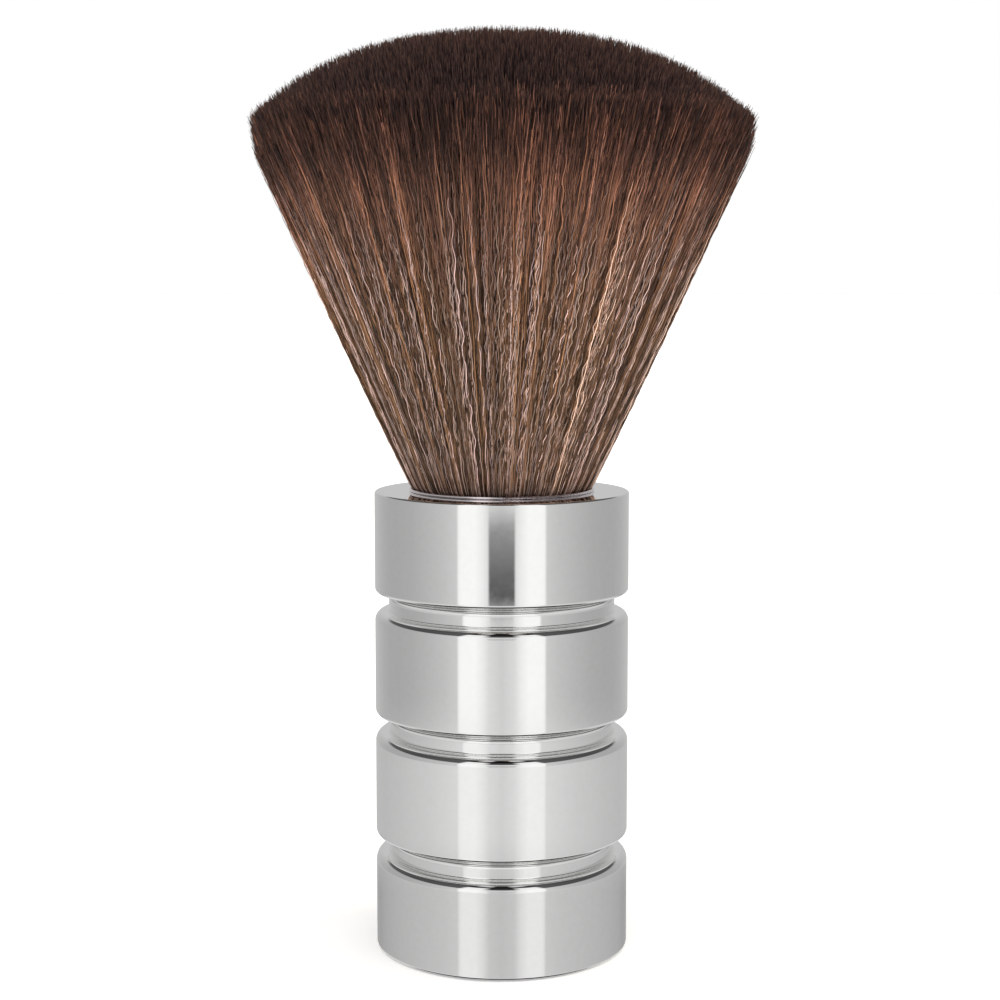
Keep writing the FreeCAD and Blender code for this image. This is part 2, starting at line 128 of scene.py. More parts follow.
def strand_mesh(name, paths, radii, tones, along):
    """One mesh of closed tubes. tones are 0 to 1 per strand, along is 0 at a root and 1 at a tip."""
    count, points, _ = paths.shape
    vertices = tube_vertices(paths, radii, random.uniform(0, 2 * math.pi, count))
    first = (np.arange(count) * points * SIDES)[:, None, None]
    ring = (np.arange(points - 1) * SIDES)[None, :, None]
    side = np.arange(SIDES)[None, None, :]
    here, there = first + ring + side, first + ring + (side + 1) % SIDES
    quads = np.stack([here, there, there + SIDES, here + SIDES], axis=-1).reshape(-1, 4)
    last = (points - 1) * SIDES
    caps = np.concatenate([
        first[:, 0, 0, None] + np.array([2, 1, 0]),
        first[:, 0, 0, None] + last + np.array([0, 1, 2]),
    ])
    mesh = bpy.data.meshes.new(name)
    mesh.vertices.add(count * points * SIDES)
    mesh.vertices.foreach_set("co", vertices.ravel())
    corners = np.concatenate([quads.ravel(), caps.ravel()])
    mesh.loops.add(len(corners))
    mesh.loops.foreach_set("vertex_index", corners)
    mesh.polygons.add(len(quads) + len(caps))
    starts = np.concatenate([np.arange(len(quads)) * 4, len(quads) * 4 + np.arange(len(caps)) * 3])
    mesh.polygons.foreach_set("loop_start", starts)
    mesh.polygons.foreach_set("use_smooth", np.ones(len(starts), bool))
    columns = np.floor(tones * (TONES - 1e-6))
    left, right = (columns + TONE_MARGIN) / TONES, (columns + 1 - TONE_MARGIN) / TONES
    u = np.stack([left, right, right, left], axis=-1)[:, None, None, :]
    u = np.broadcast_to(u, (count, points - 1, SIDES, 4))
    v = np.stack([along[:, :-1], along[:, :-1], along[:, 1:], along[:, 1:]], axis=-1)
    v = np.broadcast_to(v[:, :, None, :], u.shape)
    middle = (left + right) / 2
    cap_u = np.stack([left, right, middle], axis=-1)
    cap_v = np.repeat(np.concatenate([along[:, 0], along[:, -1]])[:, None], 3, axis=1)
    flat_u = np.concatenate([u.ravel(), np.concatenate([cap_u, cap_u]).ravel()])
    flat_v = np.concatenate([v.ravel(), cap_v.ravel()])
    layer = mesh.uv_layers.new(name=BAKE_MAP)
    layer.data.foreach_set("uv", np.stack([flat_u, flat_v], axis=-1).ravel())
    mesh.update()
    mesh.validate()
    return mesh


def add_strands(name, material, paths, radii, tones, along):
    """Splits strands into pieces that stay under the triangle limit."""
    triangles = (paths.shape[1] - 1) * SIDES * 2 + 2
    pieces = -(-len(paths) * triangles // MAX_TRIANGLES)
    for i, chosen in enumerate(np.array_split(np.arange(len(paths)), pieces)):
        piece_name = "%s_%d" % (name, i + 1)
        mesh = strand_mesh(piece_name, paths[chosen], radii[chosen], tones[chosen], along[chosen])
        mesh.materials.append(material)
        add_head_piece(bpy.data.objects.new(piece_name, mesh))


def add_piece(piece):
    bpy.context.scene.collection.objects.link(piece)
    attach(piece, "root")


def add_head_piece(piece):
    add_piece(piece)
    head_pieces.append(piece)


head_pieces = []


def taper(along, thick, thin, tip_start):
    """Strand radius: thick up to tip_start, then narrowing to thin at the tip."""
    narrow = np.clip((along - tip_start) / (1 - tip_start), 0, 1)
    return thick + (thin - thick) * narrow ** 1.3


def place(angle, radius, z):
    return np.stack([radius * np.cos(angle), radius * np.sin(angle), z], axis=-1)


def ripple(angle, waves, seed):
    """Smooth noise round the head, from -1 to 1 or so."""
    phases = np.random.default_rng(seed).uniform(0, 2 * math.pi, len(waves))
    total = sum(np.cos(k * angle + p) for k, p in zip(waves, phases))
    return total / math.sqrt(len(waves))


# waves round the head, with a seed for each pattern
BROAD_WAVES = (3, 5, 8, 13)
LOCK_WAVES = (23, 37, 51, 68, 89, 113)
SWAY_WAVES = (41, 59, 83)
EDGE_WAVES = (31, 47, 79, 121, 167)
RIDGE_WAVES = (151, 203, 247)
LOCK_SEED, SWAY_SEED, EDGE_SEED, RIDGE_SEED, TONE_SEED = 1, 2, 3, 5, 7


def head_lines(angle, share, points, start, jitter):
    """Lines of filaments from a start (0 root, 1 tip) up to the trimmed dome.

    share is each filament's place between the axis (0) and the head's side (1).
    """
    top = trim_height(np.minimum(share, 1)) + jitter
    t = start[:, None] + (1 - start[:, None]) * np.linspace(0, 1, points)[None, :]
    z = ROOT_HEIGHT + (top[:, None] - ROOT_HEIGHT) * t
    radius = share[:, None] * side_radius(z)
    return t, z, radius


TRIM_SPREAD = 0.3 * MM
WORN_SIDE = 0.9 * MM
NEAR_SIDE_START = 0.9


def trim_jitter(count):
    """Small differences in trimmed height."""
    return np.clip(random.normal(0, TRIM_SPREAD, count), -0.9 * MM, 0.6 * MM)


def ragged_jitter(angle, share):
    """Larger differences in trimmed height towards the head's side, which is lower on the left."""
    count = len(share)
    near_side = np.clip((share - NEAR_SIDE_START) / 0.1, 0, 1)
    longer = random.exponential(0.35 * MM, count) * near_side
    shorter = random.exponential(1.4 * MM, count) * near_side
    worn = WORN_SIDE * near_side * np.clip(-np.cos(angle), 0, 1) ** 2
    uneven = random.normal(0, TRIM_SPREAD, count) + longer - shorter - worn
    return np.clip(uneven, -7 * MM, 1.5 * MM)


LOCK_CONTRAST = 0.22
OWN_TONE_SHARE = 0.6


def tone_of(angle, own):
    """Tone column of a strand: its lock's tone mixed with its own."""
    lock = 0.5 + LOCK_CONTRAST * ripple(angle, BROAD_WAVES + LOCK_WAVES, TONE_SEED)
    return np.clip((1 - OWN_TONE_SHARE) * lock + OWN_TONE_SHARE * own, 0, 1)


LOCK_DEPTH = 0.32 * MM
LOCK_SWAY = 0.014  # radians round the head
STRAY_SPREAD = 0.012  # radians round the head, at the tips
EDGE_SWELL = 0.4 * MM
SPLAY_START = 0.55
TIP_SPLAY = 0.55 * MM


def lock_paths(angle, share, points, waves, reach=1.0):
    """Centre lines of filaments from root towards tip, gathered into shallow locks.

    waves gives each point's sideways and outward offsets, and reach is how much of the way up
    to the trimmed dome a filament goes.
    """
    count = len(angle)
    jitter = ragged_jitter(angle, share) + EDGE_SWELL * ripple(angle, EDGE_WAVES, EDGE_SEED)
    t, z, _ = head_lines(angle, share, points, np.zeros(count), jitter)
    t = t * reach
    z = ROOT_HEIGHT + (z - ROOT_HEIGHT) * reach
    radius = share[:, None] * side_radius(z)
    swell = np.sin(np.pi * np.clip(t, 0, 1)) ** 0.7
    radius = radius + LOCK_DEPTH * ripple(angle, LOCK_WAVES, LOCK_SEED)[:, None] * swell
    sway = LOCK_SWAY * ripple(angle, SWAY_WAVES, SWAY_SEED)[:, None] * swell
    stray = random.normal(0, STRAY_SPREAD, count)[:, None] * t
    across, outward = waves(t, z)
    grow = np.clip(5 * t, 0, 1)
    splay = np.clip((t - SPLAY_START) / (1 - SPLAY_START), 0, 1) ** 2
    across = across + random.normal(0, TIP_SPLAY, count)[:, None] * splay
    outward = outward + random.normal(0, 0.5 * TIP_SPLAY, count)[:, None] * splay
    paths = place(angle[:, None] + sway + stray + across * grow / radius,
                  radius + outward * grow, z)
    return t, paths


TIP_RADIUS = 0.03 * MM
TIP_START = 0.8  # of a filament's length
SIDE_COUNT, SIDE_POINTS, SIDE_RADIUS, SIDE_DEPTH = 14000, 18, 0.086 * MM, 0.11
WAVY_COUNT, WAVY_POINTS, WAVY_RADIUS = 2600, 52, 0.068 * MM
PALE_COUNT, PALE_POINTS, PALE_RADIUS, PALE_TIP_RADIUS = 640, 64, 0.064 * MM, 0.04 * MM
CROWN_COUNT, CROWN_POINTS, CROWN_RADIUS, CROWN_TIP_RADIUS = 34000, 4, 0.11 * MM, 0.028 * MM
CROWN_LEAN = 0.35 * MM


def spread_angles(count):
    """Angles in even steps round the head, each a little off."""
    return (np.arange(count) + random.uniform(-1, 1, count)) * 2 * math.pi / count


def make_side_filaments(material):
    """Full-length brown filaments that form the head's visible side."""
    count = SIDE_COUNT
    angle = spread_angles(count)
    share = 1 - SIDE_DEPTH * random.uniform(0, 1, count) ** 1.4

    def waves(t, z):
        return random.normal(0, 0.11 * MM, t.shape), random.normal(0, 0.07 * MM, t.shape)

    t, paths = lock_paths(angle, share, SIDE_POINTS, waves)
    tones = tone_of(angle, random.uniform(0, 1, count))
    radii = taper(t, SIDE_RADIUS, TIP_RADIUS, TIP_START)
    add_strands("side_filaments", material, paths, radii, tones, t)


def crimp(count, length_range, size_range, kink):
    """Irregular waves for filaments: sideways and outward offsets by height.

    Each filament has its own wave length and size within the ranges, in mm, and kink is the
    spread of its small bends, in mm too.
    """
    length = random.uniform(*length_range, count)[:, None] * MM
    size = random.uniform(*size_range, count)[:, None] * MM
    start = random.uniform(0, 2 * math.pi, (2, count, 1))

    def waves(t, z):
        wander = np.cumsum(random.normal(0, 0.30, t.shape), axis=1)
        phase = 2 * math.pi * (z - ROOT_HEIGHT) / length + wander
        across = size * (np.sin(phase + start[0]) + 0.5 * np.sin(0.37 * phase + start[1]))
        across = across + random.normal(0, kink * MM, t.shape)
        return across, 0.5 * size * np.cos(phase + start[0])

    return waves


def make_wavy_filaments(material):
    """Outermost brown filaments, each with its own gentle wave."""
    count = WAVY_COUNT
    angle = spread_angles(count)
    share = random.uniform(0.985, 1.004, count)
    waves = crimp(count, (3.5, 8.0), (0.06, 0.22), 0.035)
    t, paths = lock_paths(angle, share, WAVY_POINTS, waves)
    tones = tone_of(angle, random.uniform(0, 1, count))
    radii = taper(t, WAVY_RADIUS, TIP_RADIUS, TIP_START)
    add_strands("wavy_filaments", material, paths, radii, tones, t)


def make_crimped_filaments(material):
    """Pale, crimped filaments that stand out on the head's side; their pale colour is partly a painted
    glint.
    """
    count = PALE_COUNT
    angle = random.uniform(0, 2 * math.pi, count)
    share = random.uniform(0.995, 1.008, count)
    waves = crimp(count, (2.6, 7.0), (0.08, 0.26), 0.03)
    reach = random.uniform(0.72, 0.96, count)[:, None]
    t, paths = lock_paths(angle, share, PALE_POINTS, waves, reach)
    radii = taper(t, PALE_RADIUS, PALE_TIP_RADIUS, 0.6)
    add_strands("crimped_filaments", material, paths, radii, random.uniform(0, 1, count), t)


def make_crown_filaments(material):
    """Upper ends of the inner filaments, which form the trimmed dome."""
    count = CROWN_COUNT
    share = 0.96 * np.sqrt(random.uniform(0, 1, count))
    angle = random.uniform(0, 2 * math.pi, count)
    start = 1 - random.uniform(9, 12, count) * MM / HEAD_HEIGHT
    t, z, radius = head_lines(angle, share, CROWN_POINTS, start, trim_jitter(count))
    lean = random.normal(0, CROWN_LEAN, (2, count, 1)) * (t - start[:, None]) / (1 - start[:, None])
    paths = place(angle[:, None], radius, z)
    paths[:, :, 0] += lean[0]
    paths[:, :, 1] += lean[1]
    radii = taper(t, CROWN_RADIUS, CROWN_TIP_RADIUS, 0.93)
    tones = random.uniform(0.50, 0.63, count)
    add_strands("crown_filaments", material, paths, radii, tones, t)


def make_filament_core(material):
    """Packed inner filaments, as one ridged mass that lies just under the separate ones."""
    around, rows, crown_rows = 540, 40, 24
    side_share = 0.90
    sink = 7 * MM  # below the trimmed dome
    angle = np.arange(around) * 2 * math.pi / around
    edge_height = trim_height(side_share) - sink
    ridge = (1 + 0.006 * ripple(angle, LOCK_WAVES, LOCK_SEED)
             + 0.004 * ripple(angle, RIDGE_WAVES, RIDGE_SEED))
    rings = []
    for t in np.linspace(0, 1, rows):
        z = ROOT_HEIGHT + (edge_height - ROOT_HEIGHT) * t
        rings.append(place(angle, side_share * side_radius(np.full(around, z)) * ridge,
                           np.full(around, z)))
    for share in np.linspace(side_share, 0, crown_rows)[1:-1]:
        z = trim_height(share) - sink
        limit = share / side_share
        rings.append(place(angle, limit * side_share * side_radius(np.full(around, edge_height)) * ridge,
                           np.full(around, z)))
    vertices = np.concatenate(rings)
    bottom, top = len(vertices), len(vertices) + 1
    vertices = np.concatenate([vertices, [[0, 0, ROOT_HEIGHT], [0, 0, trim_height(0) - sink]]])
    faces = []
    for row in range(len(rings) - 1):
        for i in range(around):
            here, there = row * around + i, row * around + (i + 1) % around
            faces.append((here, there, there + around, here + around))
    last = (len(rings) - 1) * around
    for i in range(around):
        faces.append((bottom, (i + 1) % around, i))
        faces.append((top, last + i, last + (i + 1) % around))
    mesh = bpy.data.meshes.new("filament_core")
    mesh.from_pydata(vertices.tolist(), [], faces)
    mesh.polygons.foreach_set("use_smooth", np.ones(len(faces), bool))
    mesh.materials.append(material)
    add_head_piece(bpy.data.objects.new("filament_core", mesh))


# ---------------------------------------------------------------- materials


class Nodes:
    """Short calls for building one material's or world's node tree."""

    def __init__(self, tree):
        self.tree = tree

    def add(self, kind, settings=None, **inputs):
        node = self.tree.nodes.new(kind)
        for key, value in (settings or {}).items():
            setattr(node, key, value)
        for key, value in inputs.items():
            self.feed(node.inputs[key.replace("_", " ")], value)
        return node

    def feed(self, socket, value):
        if isinstance(value, bpy.types.NodeSocket):
            self.tree.links.new(value, socket)
        else:
            socket.default_value = value

    def math(self, operation, *values):
        node = self.tree.nodes.new("ShaderNodeMath")
        node.operation = operation
        for socket, value in zip(node.inputs, values):
            self.feed(socket, value)
        return node.outputs[0]

    def mix(self, factor, first, second, blend="MIX"):
        node = self.tree.nodes.new("ShaderNodeMix")
        node.data_type = "RGBA"
        node.blend_type = blend
        node.clamp_factor = True
        self.feed(node.inputs[0], factor)
        self.feed(node.inputs[6], first)
        self.feed(node.inputs[7], second)
        return node.outputs[2]

    def ramp(self, factor, stops, interpolation="LINEAR"):
        node = self.tree.nodes.new("ShaderNodeValToRGB")
        node.color_ramp.interpolation = interpolation
        elements = node.color_ramp.elements
        while len(elements) < len(stops):
            elements.new(0.5)
        for element, (position, colour) in zip(elements, stops):
            element.position = position
            element.color = colour
        self.feed(node.inputs[0], factor)
        return node.outputs[0]


def srgb(red, green, blue):
    """Linear colour from display values of 0 to 255."""
    def linear(value):
        value /= 255
        return value / 12.92 if value <= 0.04045 else ((value + 0.055) / 1.055) ** 2.4
    return (linear(red), linear(green), linear(blue), 1)


def grey(level):
    return srgb(level, level, level)


def new_material(name):
    """A material with one shader: the material, its nodes and the shader."""
    material = bpy.data.materials.new(name)
    material.use_nodes = True
    material.node_tree.nodes.clear()
    nodes = Nodes(material.node_tree)
    shader = nodes.add("ShaderNodeBsdfPrincipled")
    output = nodes.add("ShaderNodeOutputMaterial")
    material.node_tree.links.new(shader.outputs[0], output.inputs[0])
    return material, nodes, shader


def set_inputs(shader, **values):
    for key, value in values.items():
        shader.inputs[key.replace("_", " ")].default_value = value


TONE_CONTRAST = 3.0
WARM_LIMIT = 0.55
STREAK_SPACING = 3.7  # between one tone column's streaks and the next one's
STREAK_DENSITY = 22.0


def filament_material(name, stops, spread, warm, darkest, brightest, roughness):
    """Filament colour as a function of tone column (u) and place from root to tip (v).

    stops are the colours from root to tip, and spread is how far these move from column to column.
    warm tints some columns, and their brightness runs from darkest to brightest.
    """
    material, nodes, shader = new_material(name)
    place_on_strand = nodes.add("ShaderNodeUVMap", {"uv_map": BAKE_MAP})
    split = nodes.add("ShaderNodeSeparateXYZ", Vector=place_on_strand.outputs[0])
    column = nodes.math("FLOOR", nodes.math("MULTIPLY", split.outputs[0], TONES))
    own = nodes.add("ShaderNodeTexWhiteNoise", {"noise_dimensions": "1D"}, W=column)
    shade = nodes.math("DIVIDE", column, TONES)
    random_split = nodes.add("ShaderNodeSeparateColor", Color=own.outputs["Color"])
    shift = nodes.math("MULTIPLY", nodes.math("SUBTRACT", random_split.outputs[0], 0.5), spread)
    reach = nodes.math("MULTIPLY", split.outputs[1], nodes.math("ADD", shift, 1))
    colour = nodes.ramp(reach, stops, "EASE")
    warm_share = nodes.math("MULTIPLY", random_split.outputs[1], WARM_LIMIT)
    colour = nodes.mix(warm_share, colour, nodes.mix(1.0, colour, warm, "MULTIPLY"))
    streak_place = nodes.add("ShaderNodeCombineXYZ",
                             X=nodes.math("MULTIPLY", column, STREAK_SPACING),
                             Y=nodes.math("MULTIPLY", split.outputs[1], STREAK_DENSITY))
    streak = nodes.add("ShaderNodeTexNoise", {"noise_dimensions": "2D"}, Scale=1.0, Detail=3.0,
                       Vector=streak_place.outputs[0])
    glow = nodes.math("POWER", shade, TONE_CONTRAST)
    level = nodes.math("ADD", nodes.math("MULTIPLY", glow, brightest - darkest), darkest)
    level = nodes.math("MULTIPLY", level,
                       nodes.math("ADD", nodes.math("MULTIPLY", streak.outputs[0], 0.5), 0.75))
    grey = nodes.add("ShaderNodeCombineColor", Red=level, Green=level, Blue=level)
    colour = nodes.mix(1.0, colour, grey.outputs[0], "MULTIPLY")
    nodes.feed(shader.inputs["Base Color"], colour)
    set_inputs(shader, Roughness=roughness, IOR=1.53, Specular_IOR_Level=0.5)
    return material


def shaded_core_material():
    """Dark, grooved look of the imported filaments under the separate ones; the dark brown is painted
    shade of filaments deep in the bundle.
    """
    material, nodes, shader = new_material("packed_filament_painted_shade")
    where = nodes.add("ShaderNodeTexCoord").outputs["Object"]
    stretch = nodes.add("ShaderNodeMapping", Vector=where, Scale=(1, 1, 0.05))
    noise = nodes.add("ShaderNodeTexNoise", Vector=stretch.outputs[0], Scale=1400.0, Detail=4.0)
    # dark brown here is painted shade, not the filaments' own colour
    colour = nodes.ramp(noise.outputs[0], [(0.35, srgb(30, 20, 17)), (0.65, srgb(70, 48, 38))])
    nodes.feed(shader.inputs["Base Color"], colour)
    bump = nodes.add("ShaderNodeBump", Height=noise.outputs[0], Strength=0.8, Distance=0.3 * MM)
    nodes.feed(shader.inputs["Normal"], bump.outputs[0])
    set_inputs(shader, Roughness=0.75)
    return material


def surface_material(name, dark, light, scale, roughness, metallic=0.0, stretch=(1, 1, 1),
                     bump=0.0, roughness_spread=0.0, grain_size=0.05 * MM, coat=0.0):
    """Solid material with grain: colour, roughness and relief from one stretched noise."""
    material, nodes, shader = new_material(name)
    where = nodes.add("ShaderNodeTexCoord").outputs["Object"]
    mapping = nodes.add("ShaderNodeMapping", Vector=where, Scale=stretch)
    noise = nodes.add("ShaderNodeTexNoise", Vector=mapping.outputs[0], Scale=scale, Detail=5.0)
    nodes.feed(shader.inputs["Base Color"], nodes.ramp(noise.outputs[0], [(0.3, dark), (0.7, light)]))
    set_inputs(shader, Roughness=roughness, Metallic=metallic, Coat_Weight=coat)
    if roughness_spread:
        spread = nodes.add("ShaderNodeMapRange", Value=noise.outputs[0], From_Min=0.3, From_Max=0.7,
                           To_Min=roughness - roughness_spread, To_Max=roughness + roughness_spread)
        nodes.feed(shader.inputs["Roughness"], spread.outputs[0])
    if bump:
        relief = nodes.add("ShaderNodeBump", Height=noise.outputs[0], Strength=bump,
                           Distance=grain_size)
        nodes.feed(shader.inputs["Normal"], relief.outputs[0])
    return material


def dress(node_name, material):
    """Gives a carried-over solid its finished material."""
    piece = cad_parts[node_name]
    if not piece.material_slots:
        piece.data.materials.append(material)
    for slot in piece.material_slots:
        slot.material = material


def dress_solids():
    black_plastic = surface_material("black_moulding", srgb(9, 9, 10), srgb(17, 17, 18), 2500.0,
                                     0.38, bump=0.25, roughness_spread=0.06)
    aluminium = surface_material("drawn_aluminium", srgb(232, 222, 226), srgb(250, 242, 244), 700.0,
                                 0.16, metallic=1.0, stretch=(1, 1, 14), roughness_spread=0.05,
                                 bump=0.06)
    thread = surface_material("waxed_thread", srgb(176, 158, 122), srgb(208, 194, 160), 5000.0,
                              0.8, stretch=(1, 1, 0.2), bump=0.6)
    resin = surface_material("amber_resin", srgb(136, 92, 38), srgb(166, 120, 58), 300.0, 0.12,
                             roughness_spread=0.04, coat=0.3)
    turned_steel = surface_material("turned_steel", srgb(150, 148, 144), srgb(186, 184, 180), 900.0,
                                    0.34, metallic=1.0, stretch=(1, 1, 10), roughness_spread=0.08,
                                    bump=0.12)
    zinc = surface_material("zinc_plate", srgb(176, 176, 170), srgb(206, 206, 202), 1600.0, 0.3,
                            metallic=1.0, roughness_spread=0.08, bump=0.05)
    foam = surface_material("closed_cell_foam", srgb(22, 22, 24), srgb(44, 44, 47), 4200.0, 0.92,
                            bump=0.9, grain_size=0.12 * MM)
    for names, material in (
        (("inner_liner", "base_cap"), black_plastic),
        (("ferrule",), aluminium),
        (("root_binding",), thread),
        (("epoxy_plug",), resin),
        (("ballast_weight",), turned_steel),
        (("clamp_screw", "spring_washer"), zinc),
        (("damper_washer", "base_pad"), foam),
    ):
        for name in names:
            dress(name, material)


# ---------------------------------------------------------------- the plated handle

GROOVE_FIRST = 18.36 * MM
GROOVE_PITCH = 21.25 * MM
GROOVE_COUNT = 3
GROOVE_GAP = 3.48 * MM
GROOVE_FLOOR_RADIUS = 19.6 * MM
BAND_FOOT_ROUNDING = 0.7 * MM
BAND_TOP_ROUNDING = 1.5 * MM
GROOVE_COVE = 1.65 * MM  # hollow rounding where a groove's floor meets the band above
GROOVE_CORNER = 0.4 * MM  # hollow rounding where a groove's floor meets the band below
RIM_ROUNDING = 0.4 * MM
FINE_ROUNDING = 0.1 * MM  # of the shell's inner edges and mouth
SHELL_CEILING = HANDLE_TOP - 4 * MM
BORE_RADIUS = 17.4 * MM
SHELL_MOUTH_RADIUS = 15.5 * MM
SOCKET_RADIUS = 19.6 * MM
SOCKET_TOP = SHELL_BOTTOM + 4.7 * MM
HANDLE_FACETS = 400
LEAST_STEPS = 4  # along a rounding
STEPS_PER_MM = 8  # of a rounding's radius, beyond LEAST_STEPS


def handle_corners():
    """Corners of the shell's cross-section as (radius, height, rounding), up the outside first."""
    corners = [(HANDLE_RADIUS, SHELL_BOTTOM, RIM_ROUNDING)]
    for i in range(GROOVE_COUNT):
        middle = GROOVE_FIRST + i * GROOVE_PITCH
        low, high = middle - GROOVE_GAP / 2, middle + GROOVE_GAP / 2
        corners += [(HANDLE_RADIUS, low, BAND_TOP_ROUNDING),
                    (GROOVE_FLOOR_RADIUS, low, GROOVE_CORNER),
                    (GROOVE_FLOOR_RADIUS, high, GROOVE_COVE),
                    (HANDLE_RADIUS, high, BAND_FOOT_ROUNDING)]
    return corners + [(HANDLE_RADIUS, HANDLE_TOP, RIM_ROUNDING),
                      (SHELL_MOUTH_RADIUS, HANDLE_TOP, FINE_ROUNDING),
                      (SHELL_MOUTH_RADIUS, SHELL_CEILING, FINE_ROUNDING),
                      (BORE_RADIUS, SHELL_CEILING, FINE_ROUNDING),
                      (BORE_RADIUS, SOCKET_TOP, FINE_ROUNDING),
                      (SOCKET_RADIUS, SOCKET_TOP, FINE_ROUNDING),
                      (SOCKET_RADIUS, SHELL_BOTTOM, FINE_ROUNDING)]


def rounded_outline(corners):
    """Points and outward normals of a closed outline that runs with its material on the left."""
    points, normals = [], []
    for i, (radius, height, rounding) in enumerate(corners):
        here = np.array([radius, height])
        back = np.array(corners[i - 1][:2]) - here
        ahead = np.array(corners[(i + 1) % len(corners)][:2]) - here
        back /= np.linalg.norm(back)
        ahead /= np.linalg.norm(ahead)
        half = math.acos(float(np.dot(back, ahead))) / 2
        between = (back + ahead) / np.linalg.norm(back + ahead)
        centre = here + between * rounding / math.sin(half)
        first = here + back * rounding / math.tan(half) - centre
        last = here + ahead * rounding / math.tan(half) - centre
        bulges = 1 if ahead[0] * back[1] - ahead[1] * back[0] > 0 else -1
        start = math.atan2(first[1], first[0])
        sweep = (math.atan2(last[1], last[0]) - start + math.pi) % (2 * math.pi) - math.pi
        steps = LEAST_STEPS + int(STEPS_PER_MM * rounding / MM)
        for step in range(steps + 1):
            angle = start + sweep * step / steps
            direction = np.array([math.cos(angle), math.sin(angle)])
            points.append(centre + rounding * direction)
            normals.append(bulges * direction)
    return np.array(points), np.array(normals)


def make_handle():
    """The plated shell, turned finely enough for its mirror finish."""
    material = surface_material("mirror_plating", srgb(247, 247, 246), srgb(250, 250, 249), 900.0,
                                0.04, metallic=1.0, roughness_spread=0.012, bump=0.006)
    outline, outline_normals = rounded_outline(handle_corners())
    rows = len(outline)
    angle = np.arange(HANDLE_FACETS) * 2 * math.pi / HANDLE_FACETS
    turned = np.stack([np.cos(angle), np.sin(angle)], axis=-1)[None, :, :]

    def turn(flat):
        """A ring round the axis for each (radius, height)."""
        around = flat[:, 0, None, None] * turned
        up = np.broadcast_to(flat[:, 1, None, None], (rows, HANDLE_FACETS, 1))
        return np.concatenate([around, up], axis=-1).reshape(-1, 3)

    row, facet = np.meshgrid(np.arange(rows), np.arange(HANDLE_FACETS), indexing="ij")
    next_row, next_facet = (row + 1) % rows, (facet + 1) % HANDLE_FACETS
    quads = np.stack([row * HANDLE_FACETS + facet, row * HANDLE_FACETS + next_facet,
                      next_row * HANDLE_FACETS + next_facet, next_row * HANDLE_FACETS + facet],
                     axis=-1).reshape(-1, 4)
    mesh = bpy.data.meshes.new("plated_handle")
    mesh.from_pydata(turn(outline).tolist(), [], quads.tolist())
    mesh.polygons.foreach_set("use_smooth", np.ones(len(quads), bool))
    steps = np.linalg.norm(np.roll(outline, -1, axis=0) - outline, axis=1)
    run = np.concatenate([[0], np.cumsum(steps)]) / steps.sum()
    low, high = run[row], run[row + 1]
    left, right = facet / HANDLE_FACETS, (facet + 1) / HANDLE_FACETS
    corners = np.stack([left, low, right, low, right, high, left, high], axis=-1)
    mesh.uv_layers.new(name=BAKE_MAP).data.foreach_set("uv", corners.ravel())
    mesh.normals_split_custom_set_from_vertices(turn(outline_normals).tolist())
    mesh.materials.append(material)
    piece = bpy.data.objects.new("plated_handle", mesh)
    add_piece(piece)
    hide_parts("handle_shell")


# ---------------------------------------------------------------- the head


def make_head():
    brown = filament_material(
        "brown_filament",
        # the near-black first stops, up to about 0.06 of the length, are painted shade at the roots
        # where the filaments leave the ferrule
        [(0.0, srgb(12, 8, 7)), (0.019, srgb(22, 15, 13)), (0.028, srgb(100, 73, 58)),
         (0.06, srgb(134, 98, 76)), (0.23, srgb(139, 102, 77)), (0.48, srgb(153, 112, 85)),
         (0.62, srgb(155, 111, 86)), (0.74, srgb(159, 112, 90)), (0.83, srgb(166, 116, 96)),
         (0.89, srgb(168, 115, 96)), (0.94, srgb(144, 97, 83)), (0.975, srgb(106, 70, 62)),
         (1.0, srgb(90, 60, 54))],
        spread=0.12, warm=srgb(250, 238, 178), darkest=0.12, brightest=3.0, roughness=0.42)
    dark = filament_material(
        "dark_filament_end",
        [(0.0, srgb(110, 75, 62)), (0.86, srgb(100, 68, 58)), (0.95, srgb(54, 32, 34)),
         (0.98, srgb(52, 31, 33)), (0.99, srgb(66, 43, 42)), (1.0, srgb(108, 77, 69))],
        spread=0.02, warm=srgb(255, 236, 190), darkest=0.12, brightest=3.0, roughness=0.42)
    # pale colour partly a painted glint along the crimped filaments, with painted shade at the dark root
    pale = filament_material(
        "pale_filament_and_painted_glint",
        [(0.0, srgb(60, 44, 36)), (0.05, srgb(236, 200, 178)), (0.6, srgb(250, 214, 192)),
         (0.8, srgb(196, 156, 136)), (1.0, srgb(104, 76, 66))],
        spread=0.2, warm=srgb(200, 200, 250), darkest=0.55, brightest=1.6, roughness=0.34)
    make_filament_core(shaded_core_material())
    make_side_filaments(brown)
    make_wavy_filaments(brown)
    make_crown_filaments(dark)
    make_crimped_filaments(pale)
    for piece in head_pieces:
        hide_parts("bristle_tuft")


# ---------------------------------------------------------------- studio and camera


FLOOR_REACH = 40.0
FLOOR_GLOW = 0.22


